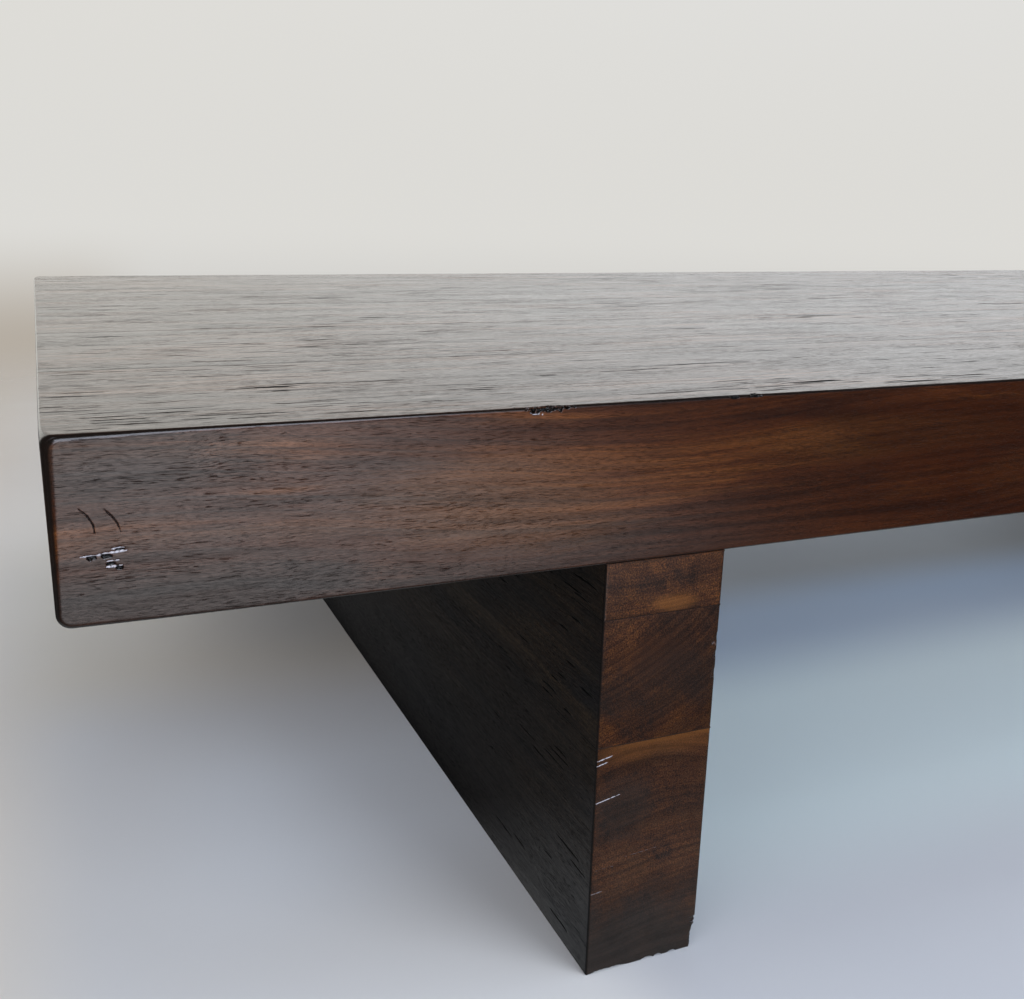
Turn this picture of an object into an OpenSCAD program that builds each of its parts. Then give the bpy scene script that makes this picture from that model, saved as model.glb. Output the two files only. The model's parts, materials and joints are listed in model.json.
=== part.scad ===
// Low backless bench: a thick slab seat of edge-glued staves on two panel legs.
// The legs are cross-grained to the seat, so each one is held by three steel angle
// brackets: the centre one fixes it, and the outer two have slots that let the seat move.
//
// Frame: origin on the floor at the centre of the footprint, +X along the seat,
// -Y towards the front edge, +Z up. Millimetres.

/* [Bench] */
// Length of the seat along X
seat_length = 2100; // [1700:10:2600]
// Depth of the seat from its front edge to its back edge
seat_depth = 1000; // [780:10:1250]
// Height of the seat's top above the floor
bench_height = 406; // [330:1:500]

/* [Seat] */
// Thickness of the seat, and of each stave
seat_thickness = 102; // [80:1:130]
// Number of staves glued edge to edge
stave_count = 5; // [4:1:7]
// Radius of the seat's four upright corners
seat_corner_r = 6; // [1:0.5:12]
// Radius of the lower edge at each end of the seat
seat_end_lower_r = 8; // [1:0.5:14]
// Radius of the upper edge at each end of the seat
seat_end_upper_r = 2; // [1:0.5:6]

/* [Legs] */
// Thickness of a leg along X
leg_thickness = 88; // [60:1:120]
// Distance from the end of the seat to the outer face of the leg
end_overhang = 316; // [150:1:450]
// How far each leg stands back from the seat's front and back faces
leg_setback = 0; // [0:1:60]
// Height of the upper board of a leg
leg_upper_board = 38; // [31:1:50]
// Height of the middle board of a leg
leg_middle_board = 90; // [70:1:120]
// Radius of a leg's four upright corners
leg_corner_r = 2; // [0.5:0.5:6]

/* [Loose tenons between staves] */
// Number of loose tenons in each stave joint
tenon_count = 7; // [3:1:12]
// Thickness of a loose tenon
tenon_thickness = 14; // [8:1:20]
// Width of a loose tenon along the joint
tenon_width = 28; // [20:1:60]
// Length of a loose tenon across the joint
tenon_length = 100; // [60:1:120]
// Distance from the end of the seat to the first tenon's centre
tenon_end_distance = 120; // [60:1:250]

/* [Dowels between leg boards] */
// Diameter of a leg dowel
dowel_d = 12; // [8:1:16]
// Length of a dowel between the upper and middle boards
upper_dowel_length = 50; // [30:1:56]
// Length of a dowel between the middle and lower boards
lower_dowel_length = 80; // [50:1:110]
// Distance between the two dowels of a pair
dowel_pair_pitch = 90; // [40:1:140]

/* [Angle brackets] */
// Length of a bracket along Y
bracket_length = 120; // [90:1:150]
// Width of the flange under the seat
seat_flange = 50; // [40:1:70]
// Height of the flange against the leg
leg_flange = 75; // [60:1:95]
// Thickness of the steel
bracket_steel = 6; // [4:0.5:8]
// Radius inside the bracket's corner
bracket_root_r = 6; // [2:0.5:8]
// Distance from the leg's end to the near end of an outer bracket
bracket_end_distance = 60; // [20:1:120]
// Length of a slot in an outer bracket, end to end
slot_length = 24; // [14:1:30]

/* [Bolts into the seat] */
// Diameter of a seat bolt
bolt_d = 8; // [6:1:10]
// Length of a seat bolt under its head
bolt_length = 30; // [24:1:36]
// Distance from a bracket's end to the centre of its bolt hole or slot
bolt_end_distance = 20; // [18:1:26]
// Size of the bolt's hexagon across its flats
bolt_head_flats = 13; // [10:1:17]
// Height of the bolt's head
bolt_head_height = 5.3; // [4:0.1:7]
// Diameter of the washer
washer_d = 22; // [18:1:24]
// Thickness of the washer
washer_thickness = 2; // [1:0.5:3]
// Outer diameter of the threaded insert
insert_d = 14; // [12:1:16]
// Length of the threaded insert
insert_length = 25; // [18:1:28]

/* [Screws into the legs] */
// Diameter of a leg screw's shank
screw_d = 5.5; // [4:0.5:6.5]
// Length of a leg screw with its head
screw_length = 40; // [30:1:48]
// Diameter of the countersunk head
screw_head_d = 11; // [9:0.5:12]
// Height of the countersunk head
screw_head_height = 3; // [2.5:0.1:3.8]
// Length of the screw's point
screw_point = 6; // [3:0.5:8]
// Distance from a bracket's end to its column of screws
screw_end_distance = 15; // [10:1:25]
// Distance from the seat's underside down to the upper row of screws
screw_upper_row = 21; // [18:1:26]
// Distance from the flange's lower edge up to the lower row of screws
screw_lower_edge = 17; // [10:1:20]

/* [Clearances] */
// Gap round a dowel, tenon, insert or screw in its wooden hole
wood_gap = 0.1; // [0.05:0.05:0.3]
// Space for glue at each end of a dowel or tenon
glue_gap = 1; // [0.5:0.5:2]
// Gap between a bolt's shank and the thread, washer or insert round it
thread_gap = 0.1; // [0.05:0.05:0.2]
// Gap between a bolt's shank and its hole in the bracket
bracket_hole_gap = 0.5; // [0.3:0.1:1]
// Gap under a screw's head in its countersink
countersink_gap = 0.1; // [0.05:0.05:0.2]

/* [Hidden] */
$fn = 64;
cut = 1; // how far a cutter passes a face, so that no face is shared
deg_up = 90;
hexagon = 6;

walnut_seat = [0.27, 0.18, 0.13];
walnut_leg = [0.22, 0.15, 0.11];
beech = [0.80, 0.68, 0.50];
black_steel = [0.12, 0.12, 0.13];
zinc = [0.68, 0.70, 0.72];

leg_height = bench_height - seat_thickness;
leg_lower_board = leg_height - leg_upper_board - leg_middle_board;
leg_depth = seat_depth - 2 * leg_setback;
stave_width = seat_depth / stave_count;
leg_outer_x = seat_length / 2 - end_overhang;
leg_inner_x = leg_outer_x - leg_thickness;
leg_centre_x = leg_outer_x - leg_thickness / 2;

upper_joint_z = leg_height - leg_upper_board;
lower_joint_z = upper_joint_z - leg_middle_board;
tenon_z = leg_height + seat_thickness / 2;

tenon_first_x = -seat_length / 2 + tenon_end_distance;
tenon_pitch = (seat_length - 2 * tenon_end_distance) / (tenon_count - 1);
tenon_xs = [for (i = [0:tenon_count - 1]) tenon_first_x + i * tenon_pitch];
stave_joint_ys = [for (i = [1:stave_count - 1]) -seat_depth / 2 + i * stave_width];

outer_bracket_y = leg_depth / 2 - bracket_end_distance - bracket_length / 2;
bracket_names = ["front", "centre", "back"];
bracket_ys = [-outer_bracket_y, 0, outer_bracket_y];
bolt_pitch = bracket_length - 2 * bolt_end_distance;
screw_pitch = bracket_length - 2 * screw_end_distance;
bolt_ys = [for (y = bracket_ys) for (s = [-1, 1]) y + s * bolt_pitch / 2];
screw_ys = [for (y = bracket_ys) for (s = [-1, 1]) y + s * screw_pitch / 2];
screw_zs = [leg_height - screw_upper_row, leg_height - leg_flange + screw_lower_edge];
dowel_ys = [for (a = [-1, 1]) for (b = [-1, 1]) a * outer_bracket_y / 2 + b * dowel_pair_pitch / 2];

// The bolts stand in the middle of the flange's flat, clear of the root radius.
bolt_from_leg = (bracket_steel + bracket_root_r + seat_flange) / 2;
bolt_seat = bracket_steel + washer_thickness; // from the seat's underside down to the bolt's head
bolt_hole_r = bolt_d / 2 + bracket_hole_gap;
insert_hole_depth = max(insert_length, bolt_length - bolt_seat) + glue_gap;
bolt_head_r = bolt_head_flats / 2 / cos(180 / hexagon);

// The legs' names, and the side of the bench that each is on: -1 is towards -X.
leg_names = ["left", "right"];
leg_sides = [-1, 1];

// ---- shared shapes ----

// A rectangle centred on the origin, with all four corners rounded to r.
module rounded_rectangle(width, depth, r) {
    square([width - 2 * r, depth], center = true);
    square([width, depth - 2 * r], center = true);
    for (x = [-1, 1]) for (y = [-1, 1])
        translate([x * (width / 2 - r), y * (depth / 2 - r)]) circle(r);
}

// The seat seen from the front, centred on X and standing on Y = 0, with its end edges rounded.
module seat_front_outline() {
    wide = seat_length / 2;
    lower = seat_end_lower_r;
    upper = seat_end_upper_r;
    translate([-wide + lower, 0]) square([seat_length - 2 * lower, seat_thickness]);
    translate([-wide, lower]) square([seat_length, seat_thickness - lower - upper]);
    translate([-wide + upper, lower])
        square([seat_length - 2 * upper, seat_thickness - lower]);
    for (s = [-1, 1]) {
        translate([s * (wide - lower), lower]) circle(lower);
        translate([s * (wide - upper), seat_thickness - upper]) circle(upper);
    }
}

// A slot along Y with round ends, centred on the origin and cut through a plate of the given thickness.
module slot_cutter(r, length, depth) {
    reach = length / 2 - r;
    for (s = [-1, 1]) translate([0, s * reach, 0]) cylinder(r = r, h = depth, center = true);
    if (reach > 0) cube([2 * r, 2 * reach, depth], center = true);
}

// Puts its children on the left leg as drawn, or mirrored onto the right leg.
module on_leg(side) {
    mirror([side > 0 ? 1 : 0, 0, 0]) children();
}

// ---- seat ----

// A loose tenon across a stave joint: a flat bar along Y with round long edges.
module tenon_bar(gap, end_gap) {
    thick = tenon_thickness + 2 * gap;
    wide = tenon_width + 2 * gap;
    rotate([deg_up, 0, 0])
        linear_extrude(height = tenon_length + 2 * end_gap, center = true) {
            square([wide - thick, thick], center = true);
            for (s = [-1, 1]) translate([s * (wide - thick) / 2, 0]) circle(thick / 2);
        }
}

module tenon_mortises() {
    for (x = tenon_xs) for (y = stave_joint_ys)
        translate([x, y, tenon_z]) tenon_bar(wood_gap, glue_gap);
}

module insert_holes() {
    for (side = leg_sides) on_leg(side)
        for (y = bolt_ys)
            translate([-leg_inner_x + bolt_from_leg, y, leg_height - cut])
                cylinder(d = insert_d + 2 * wood_gap, h = insert_hole_depth + cut);
}

// The finished seat before it is split into its staves.
module seat_body() {
    difference() {
        intersection() {
            translate([0, 0, leg_height])
                linear_extrude(height = seat_thickness)
                    rounded_rectangle(seat_length, seat_depth, seat_corner_r);
            translate([0, seat_depth / 2, leg_height])
                rotate([deg_up, 0, 0]) linear_extrude(height = seat_depth) seat_front_outline();
        }
        tenon_mortises();
        insert_holes();
    }
}

// Stave i, counted from the front edge: one full-thickness board with its grain along X.
module seat_stave(i) {
    color(walnut_seat)
        intersection() {
            seat_body();
            translate([-seat_length, -seat_depth / 2 + (i - 1) * stave_width, leg_height - cut])
                cube([2 * seat_length, stave_width, seat_thickness + 2 * cut]);
        }
}

// The loose tenons in joint i, between staves i and i + 1.
module stave_joint_tenons(i) {
    color(beech)
        for (x = tenon_xs) translate([x, stave_joint_ys[i - 1], tenon_z]) tenon_bar(0, 0);
}

// ---- legs: drawn on the left leg, whose inner face looks along +X ----

module leg_screw_holes() {
    for (y = screw_ys) for (z = screw_zs)
        translate([-leg_inner_x + cut, y, z]) rotate([0, -deg_up, 0])
            cylinder(d = screw_d + 2 * wood_gap, h = screw_length - bracket_steel + glue_gap + cut);
}

module dowel_row(joint_z, length, gap, end_gap) {
    for (y = dowel_ys)
        translate([-leg_centre_x, y, joint_z])
            cylinder(d = dowel_d + 2 * gap, h = length + 2 * end_gap, center = true);
}

// One board of a leg's stack, grain along Y, between two heights.
module leg_board(bottom_z, height) {
    color(walnut_leg)
        difference() {
            translate([-leg_centre_x, 0, bottom_z])
                linear_extrude(height = height)
                    rounded_rectangle(leg_thickness, leg_depth, leg_corner_r);
            dowel_row(upper_joint_z, upper_dowel_length, wood_gap, glue_gap);
            dowel_row(lower_joint_z, lower_dowel_length, wood_gap, glue_gap);
            leg_screw_holes();
        }
}

module leg_upper_board(side) {
    on_leg(side) leg_board(upper_joint_z, leg_upper_board);
}

module leg_middle_board(side) {
    on_leg(side) leg_board(lower_joint_z, leg_middle_board);
}

module leg_lower_board(side) {
    on_leg(side) leg_board(0, leg_lower_board);
}

module leg_upper_dowels(side) {
    color(beech) on_leg(side) dowel_row(upper_joint_z, upper_dowel_length, 0, 0);
}

module leg_lower_dowels(side) {
    color(beech) on_leg(side) dowel_row(lower_joint_z, lower_dowel_length, 0, 0);
}

// ---- brackets and their fasteners ----

// The angle's section, with its corner at the origin, one flange along +X and one down -Y.
module bracket_section() {
    inner = bracket_steel + bracket_root_r;
    difference() {
        union() {
            translate([0, -bracket_steel]) square([seat_flange, bracket_steel]);
            translate([0, -leg_flange]) square([bracket_steel, leg_flange]);
            translate([0, -inner]) square([inner, inner]);
        }
        translate([inner, -inner]) circle(bracket_root_r);
    }
}

// Holes for one bracket's two bolts: slots in an outer bracket, round holes in the centre one.
module bracket_bolt_holes(is_slotted) {
    for (s = [-1, 1])
        translate([-leg_inner_x + bolt_from_leg, s * bolt_pitch / 2, leg_height - bracket_steel / 2])
            slot_cutter(bolt_hole_r, is_slotted ? slot_length : 2 * bolt_hole_r,
                        bracket_steel + 2 * cut);
}

module bracket_screw_holes() {
    head_r = screw_head_d / 2 + countersink_gap;
    shank_r = screw_d / 2 + countersink_gap;
    for (s = [-1, 1]) for (z = screw_zs)
        translate([-leg_inner_x, s * screw_pitch / 2, z]) rotate([0, deg_up, 0]) {
            translate([0, 0, -cut]) cylinder(r = shank_r, h = bracket_steel + cut);
            translate([0, 0, bracket_steel - screw_head_height])
                cylinder(r1 = shank_r, r2 = head_r, h = screw_head_height);
            translate([0, 0, bracket_steel]) cylinder(r = head_r, h = cut);
        }
}

// One steel angle bracket: place 0 is the front one, 1 the centre one and 2 the back one.
module bracket(side, place) {
    color(black_steel)
        on_leg(side) translate([0, bracket_ys[place], 0])
            difference() {
                translate([-leg_inner_x, bracket_length / 2, leg_height])
                    rotate([deg_up, 0, 0]) linear_extrude(height = bracket_length) bracket_section();
                bracket_bolt_holes(place != 1);
                bracket_screw_holes();
            }
}

// A countersunk wood screw lying along -X, with the flat of its head at the origin.
module wood_screw() {
    straight = screw_length - screw_head_height - screw_point;
    rotate([0, -deg_up, 0]) {
        cylinder(d1 = screw_head_d, d2 = screw_d, h = screw_head_height);
        translate([0, 0, screw_head_height]) cylinder(d = screw_d, h = straight);
        translate([0, 0, screw_head_height + straight])
            cylinder(d1 = screw_d, d2 = screw_d / 4, h = screw_point);
    }
}

module leg_screws(side) {
    color(zinc) on_leg(side)
        for (y = screw_ys) for (z = screw_zs)
            translate([-leg_inner_x + bracket_steel, y, z]) wood_screw();
}

// Puts its children at each of a leg's bolts, with Z = 0 at the seat's underside.
module at_bolts(side) {
    on_leg(side)
        for (y = bolt_ys) translate([-leg_inner_x + bolt_from_leg, y, leg_height]) children();
}

module seat_bolts(side) {
    color(zinc) at_bolts(side)
        translate([0, 0, -bolt_seat]) {
            cylinder(d = bolt_d, h = bolt_length);
            translate([0, 0, -bolt_head_height])
                cylinder(r = bolt_head_r, h = bolt_head_height, $fn = hexagon);
        }
}

module bolt_washers(side) {
    color(zinc) at_bolts(side)
        translate([0, 0, -bolt_seat])
            difference() {
                cylinder(d = washer_d, h = washer_thickness);
                translate([0, 0, -cut])
                    cylinder(d = bolt_d + 2 * thread_gap, h = washer_thickness + 2 * cut);
            }
}

module seat_inserts(side) {
    color(zinc) at_bolts(side)
        difference() {
            cylinder(d = insert_d, h = insert_length);
            translate([0, 0, -cut]) cylinder(d = bolt_d + 2 * thread_gap, h = insert_length + 2 * cut);
        }
}

// ---- nodes ----

for (i = [1:stave_count])
    seat_stave(i);
for (i = [1:stave_count - 1])
    stave_joint_tenons(i);
for (n = [0, 1])
    leg_upper_board(leg_sides[n]);
for (n = [0, 1])
    leg_middle_board(leg_sides[n]);
for (n = [0, 1])
    leg_lower_board(leg_sides[n]);
for (n = [0, 1])
    leg_upper_dowels(leg_sides[n]);
for (n = [0, 1])
    leg_lower_dowels(leg_sides[n]);
for (n = [0, 1]) for (b = [0, 1, 2])
    bracket(leg_sides[n], b);
for (n = [0, 1])
    leg_screws(leg_sides[n]);
for (n = [0, 1])
    seat_bolts(leg_sides[n]);
for (n = [0, 1])
    bolt_washers(leg_sides[n]);
for (n = [0, 1])
    seat_inserts(leg_sides[n]);
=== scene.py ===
"""Backless bench: a thick dark-stained walnut slab seat on two panel legs.

Every board is rebuilt at its place in the frame as a fine mesh with worn arrises,
chips and scratches. The hardware, the tenons and the dowels keep their shape and get
better materials.
"""

import json
import math
import random
from collections import namedtuple

import bmesh
import bpy
import numpy as np
from mathutils import Matrix, Vector, noise


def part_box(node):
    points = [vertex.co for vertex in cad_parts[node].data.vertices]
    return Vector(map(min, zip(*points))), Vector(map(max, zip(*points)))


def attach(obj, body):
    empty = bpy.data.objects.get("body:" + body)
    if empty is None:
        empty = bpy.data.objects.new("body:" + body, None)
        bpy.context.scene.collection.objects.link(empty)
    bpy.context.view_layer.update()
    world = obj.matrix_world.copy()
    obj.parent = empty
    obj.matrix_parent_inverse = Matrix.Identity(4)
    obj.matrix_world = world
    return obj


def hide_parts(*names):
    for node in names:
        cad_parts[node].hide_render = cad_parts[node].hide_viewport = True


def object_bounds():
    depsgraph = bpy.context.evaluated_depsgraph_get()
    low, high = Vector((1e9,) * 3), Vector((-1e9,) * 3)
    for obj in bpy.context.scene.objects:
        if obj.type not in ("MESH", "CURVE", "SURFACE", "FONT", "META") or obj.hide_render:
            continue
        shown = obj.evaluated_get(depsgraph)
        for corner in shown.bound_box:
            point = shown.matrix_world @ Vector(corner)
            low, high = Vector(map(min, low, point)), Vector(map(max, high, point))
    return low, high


MM = 0.001

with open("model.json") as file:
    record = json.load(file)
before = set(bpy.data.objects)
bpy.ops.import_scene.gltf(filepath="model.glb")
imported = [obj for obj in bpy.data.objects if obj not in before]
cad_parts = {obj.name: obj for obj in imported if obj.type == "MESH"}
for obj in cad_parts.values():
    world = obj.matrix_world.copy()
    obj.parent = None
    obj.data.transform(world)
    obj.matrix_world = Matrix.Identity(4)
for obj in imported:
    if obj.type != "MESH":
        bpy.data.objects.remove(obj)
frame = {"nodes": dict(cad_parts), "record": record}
cad_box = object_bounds()
SEAT = ["seat_stave_%d" % i for i in range(1, 6)]
BOARDS = ("upper", "middle", "lower")
# where each board's growth rings centre, in mm across the grain and up, and the seat's parts of the tree
SEAT_PITHS = [(-610, 250), (-210, 60), (60, 720), (150, 40), (560, 260)]
LEG_PITHS = [(-700, 730), (-840, 520), (-705, -560)]
SEAT_OFFSETS = [(0.0, 0.0, 0.0), (3.1, 1.7, 0.4), (7.3, 4.2, 1.1), (11.9, 2.6, 2.3), (15.2, 6.4, 3.7)]


# ---------------------------------------------------------------- camera

def camera_axes(yaw, pitch, roll):
    """Unit vectors to the right, down and ahead. Yaw turns from +Y to +X, and pitch looks down."""
    yaw, pitch, roll = (math.radians(a) for a in (yaw, pitch, roll))
    ahead = Vector((math.sin(yaw) * math.cos(pitch), math.cos(yaw) * math.cos(pitch), -math.sin(pitch)))
    level = ahead.cross(Vector((0, 0, 1))).normalized()
    right = level * math.cos(roll) - ahead.cross(level) * math.sin(roll)
    return right, ahead.cross(right), ahead


def make_camera():
    """Just in front of the seat's left end, a little above it, looking along the bench and down."""
    lo, hi = cad_box
    corner = Vector((lo.x, lo.y, hi.z))
    right, down, ahead = camera_axes(yaw=23.486, pitch=15.821, roll=1.413)
    data = bpy.data.cameras.new("camera")
    data.sensor_width = 36.0
    data.lens = 38.06
    data.clip_start, data.clip_end = 0.01, 60.0
    cam = bpy.data.objects.new("camera", data)
    bpy.context.scene.collection.objects.link(cam)
    turn = Matrix((right, -down, -ahead)).transposed()
    from_corner = Vector((7.64, -560.4, 119.0)) * MM
    cam.matrix_world = Matrix.Translation(corner + from_corner) @ turn.to_4x4()
    bpy.context.scene.camera = cam


# ---------------------------------------------------------------- node building

class Nodes:
    """Short names for building the node tree of a material or a world."""

    def __init__(self, owner):
        owner.use_nodes = True
        self.owner = owner
        self.tree = owner.node_tree
        self.tree.nodes.clear()

    def add(self, kind, inputs=None, **settings):
        node = self.tree.nodes.new(kind)
        for key, value in settings.items():
            setattr(node, key, value)
        for key, value in (inputs or {}).items():
            self.feed(node.inputs[key], value)
        return node

    def feed(self, socket, value):
        if isinstance(value, bpy.types.NodeSocket):
            self.tree.links.new(value, socket)
        else:
            socket.default_value = value

    def place(self):
        return self.add("ShaderNodeTexCoord").outputs["Object"]

    def maths(self, operation, a, b=0.0, clamp=False):
        node = self.add("ShaderNodeMath", operation=operation, use_clamp=clamp)
        self.feed(node.inputs[0], a)
        self.feed(node.inputs[1], b)
        return node.outputs[0]

    def chain(self, operation, values):
        result = values[0]
        for value in values[1:]:
            result = self.maths(operation, result, value)
        return result

    def plus(self, *values):
        return self.chain("ADD", values)

    def times(self, *values):
        return self.chain("MULTIPLY", values)

    def minus(self, a, b, clamp=False):
        return self.maths("SUBTRACT", a, b, clamp=clamp)

    def larger(self, a, b):
        return self.maths("MAXIMUM", a, b)

    def vector(self, operation, a, b=(0, 0, 0)):
        node = self.add("ShaderNodeVectorMath", operation=operation)
        self.feed(node.inputs[0], a)
        self.feed(node.inputs[1], b)
        return node.outputs["Value" if operation == "LENGTH" else "Vector"]

    def split(self, v):
        return self.add("ShaderNodeSeparateXYZ", {"Vector": v}).outputs

    def join(self, x, y, z):
        return self.add("ShaderNodeCombineXYZ", {"X": x, "Y": y, "Z": z}).outputs[0]

    def off_centre(self, field, size):
        """A noise field moved to lie round 0, and scaled."""
        return self.times(self.minus(field, 0.5), size)

    def noise(self, v, scale=1.0, detail=2.0, rough=0.5, distortion=0.0):
        return self.add("ShaderNodeTexNoise", {"Vector": v, "Scale": scale, "Detail": detail,
                                               "Roughness": rough, "Distortion": distortion}).outputs["Fac"]

    def step(self, value, low, high, out_low=0.0, out_high=1.0):
        """Value mapped smoothly from low..high to out_low..out_high, and held outside."""
        return self.add("ShaderNodeMapRange", {"Value": value, "From Min": low, "From Max": high,
                                               "To Min": out_low, "To Max": out_high},
                        interpolation_type="SMOOTHSTEP").outputs["Result"]

    def band(self, value, rise, full, still_full, fall):
        """0 outside rise..fall and 1 within full..still_full, smooth between."""
        return self.times(self.step(value, rise, full), self.step(value, fall, still_full))

    def mix(self, share, a, b, blend="MIX"):
        node = self.add("ShaderNodeMix", data_type="RGBA", blend_type=blend)
        self.feed(node.inputs[0], share)
        self.feed(node.inputs[6], a)
        self.feed(node.inputs[7], b)
        return node.outputs[2]

    def tint(self, colour, by):
        return self.mix(1.0, colour, by, "MULTIPLY")

    def shade(self, colour, by):
        """A colour made lighter or darker by a number."""
        return self.tint(colour, self.join(by, by, by))

    def blend(self, share, first, second):
        """Two shaders mixed."""
        return self.add("ShaderNodeMixShader", {0: share, 1: first.outputs[0], 2: second.outputs[0]})

    def bump(self, height, distance):
        return self.add("ShaderNodeBump", {"Height": height, "Distance": distance}).outputs[0]

    def finish(self, constants, **linked):
        """Ends the tree in one Principled shader: constants on its own sockets, the rest linked."""
        shader = self.add("ShaderNodeBsdfPrincipled")
        for key, value in constants.items():
            shader.inputs[key].default_value = value
        for key, value in linked.items():
            self.feed(shader.inputs[key.replace("_", " ")], value)
        return self.end("ShaderNodeOutputMaterial", shader)

    def end(self, kind, shader):
        self.tree.links.new(shader.outputs[0], self.add(kind).inputs["Surface"])
        return self.owner


def material_nodes(name):
    return Nodes(bpy.data.materials.new(name))


def rgb(r, g, b):
    return (r, g, b, 1.0)


# ---------------------------------------------------------------- walnut

PORE = rgb(0.006, 0.004, 0.003)
# Painted shade inside cracks and hollows.
CRACK_SHADE = rgb(0.003, 0.003, 0.003)
# Pale of bared wood together with a painted highlight.
BARE_AND_GLINT = rgb(0.50, 0.48, 0.53)
ESPRESSO = (rgb(0.019, 0.0056, 0.0022), rgb(0.042, 0.0110, 0.0025), rgb(0.092, 0.0280, 0.0048))
CHARCOAL = (rgb(0.014, 0.0060, 0.0036), rgb(0.038, 0.0125, 0.0042), rgb(0.070, 0.0240, 0.0062))
FOOT_LIGHT = rgb(0.048, 0.0180, 0.0062)
# Painted shade with a blue painted reflection, for the legs' broad faces.
SIDE_SHADE_TINT = rgb(0.25, 0.43, 0.72)
# Painted shade at the legs' feet.
FOOT_SHADE = rgb(0.0020, 0.0022, 0.0036)
RING = 6.0 * MM
RING_MARK = 0.35
SATIN = {"IOR": 1.45, "Specular IOR Level": 0.15, "Coat Roughness": 0.2, "Coat IOR": 1.5}


class Walnut(Nodes):
    """Dark-stained walnut as a solid texture. grain is the axis the fibres follow, "X" in the seat and "Y"
    in the legs. pith is where the growth rings centre, in mm across the grain and up, and offset moves the
    board to another part of the tree."""

    def __init__(self, name, grain, pith, offset):
        super().__init__(bpy.data.materials.new(name))
        self.seat = grain == "X"
        self.spot = self.place()
        x, y, self.z = self.split(self.spot)
        self.along, self.across = (x, y) if self.seat else (y, x)
        straight = self.vector("ADD", self.join(self.along, self.across, self.z), offset)
        sway = self.noise(self.vector("MULTIPLY", straight, (14.0, 34.0, 34.0)), detail=1.0)
        sway = self.off_centre(sway, 7 * MM)
        self.fibres = self.vector("ADD", straight, self.join(0.0, sway, sway))
        self.grow_rings(pith)
        self.blotch = self.stretched(4.5, 26.0, detail=3.0, rough=0.55, distortion=0.5)
        self.bands = self.stretched(3.2, 150.0, rough=0.55)
        self.streak = self.stretched(40.0, 1150.0, detail=4.0, rough=0.72)
        self.fibre = self.stretched(240.0, 1900.0, detail=3.0, rough=0.7)
        self.pores = self.open_pores()
        self.facing = self.find_facing()
        squarest = self.larger(self.facing[0], self.larger(self.facing[1], self.facing[2]))
        self.arris = self.step(squarest, 0.985, 0.90)  # 1 where an arris is rolled
        self.side = self.step(self.facing[0], 0.6, 0.9)  # 1 on the faces that look along X
        # Per point, from the marks: how deep a hollow is, painted black as shade, and how bared a spot is,
        # pale as bare wood and as a painted highlight.
        self.shaded_hollow = self.add("ShaderNodeAttribute", attribute_name="shaded_hollow").outputs["Fac"]
        self.bared_and_glint = self.add("ShaderNodeAttribute", attribute_name="bared_and_glint").outputs["Fac"]

    def stretched(self, along, across, **how):
        """Noise drawn out along the fibres. along and across count its features in a metre."""
        return self.noise(self.vector("MULTIPLY", self.fibres, (along, across, across)), **how)

    def grow_rings(self, pith):
        """Growth rings that wander a little along the board: late wood, groups of years and single years."""
        slow = self.off_centre(self.stretched(1.7, 5.0, detail=1.0), 60 * MM)
        quick = self.off_centre(self.stretched(2.3, 9.0), 14 * MM)
        centre = (0.0, pith[0] * MM, pith[1] * MM)
        radial = self.vector("SUBTRACT", self.join(0.0, self.across, self.z), centre)
        radius = self.plus(self.vector("LENGTH", radial), self.plus(slow, quick))
        phase = self.maths("FRACT", self.maths("DIVIDE", radius, RING))
        self.late = self.band(phase, 0.45, 0.93, 0.95, 1.0)
        self.season = self.noise(self.join(0.0, self.times(radius, 45.0), 0.0), detail=3.0, rough=0.6)
        years = self.join(0.0, self.times(radius, 420.0), self.times(self.along, 3.0))
        self.year = self.noise(years)

    def open_pores(self):
        """Fine pores along the fibres, fewer in the late wood."""
        field = self.stretched(120.0, 2300.0, detail=1.0)
        zone = self.step(self.stretched(9.0, 40.0, detail=1.0), 0.3, 0.7, -0.05, 0.05)
        pores = self.step(self.plus(field, zone), 0.60, 0.67)
        return self.times(pores, self.step(self.late, 0.0, 1.0, 1.0, 0.5))

    def find_facing(self):
        """How squarely the surface faces along X, Y and Z."""
        normal = self.split(self.add("ShaderNodeNewGeometry").outputs["Normal"])
        return [self.maths("ABSOLUTE", part) for part in normal]

    def figure(self, tones):
        """The stained colour of the wood, from dark to light. The end grain is speckled with cut pores."""
        dark, mid, light = tones
        tone = self.plus(self.times(self.blotch, 0.45), self.times(self.season, 0.30))
        tone = self.plus(tone, self.times(self.bands, 0.25))
        if not self.seat:
            speckle = self.noise(self.spot, scale=900.0, detail=3.0, rough=0.7)
            tone = self.plus(tone, self.step(speckle, 0.3, 0.7, -0.05, 0.05))
        colour = self.mix(self.step(tone, 0.38, 0.50), dark, mid)
        colour = self.mix(self.step(tone, 0.49, 0.60), colour, light)
        cloud = self.stretched(5.0, 8.0)
        colour = self.mix(self.step(cloud, 0.42, 0.68, 0.0, 0.55), colour, dark)
        colour = self.mix(self.times(self.late, RING_MARK), colour, rgb(*(0.4 * c for c in dark[:3])))
        if not self.seat:
            colour = self.shade(colour, self.step(speckle, 0.36, 0.66, 0.45, 1.75))
        return colour

    def stained(self, colour, centre, radii, stain, strength):
        """A soft stain with a ragged edge. centre and radii are in mm."""
        away = self.vector("SUBTRACT", self.spot, tuple(c * MM for c in centre))
        away = self.vector("LENGTH", self.vector("DIVIDE", away, tuple(r * MM for r in radii)))
        ragged = self.times(self.minus(self.plus(self.streak, self.blotch), 1.0), 1.4)
        return self.mix(self.step(self.plus(away, ragged), 1.25, 0.45, 0.0, strength), colour, stain)

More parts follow.
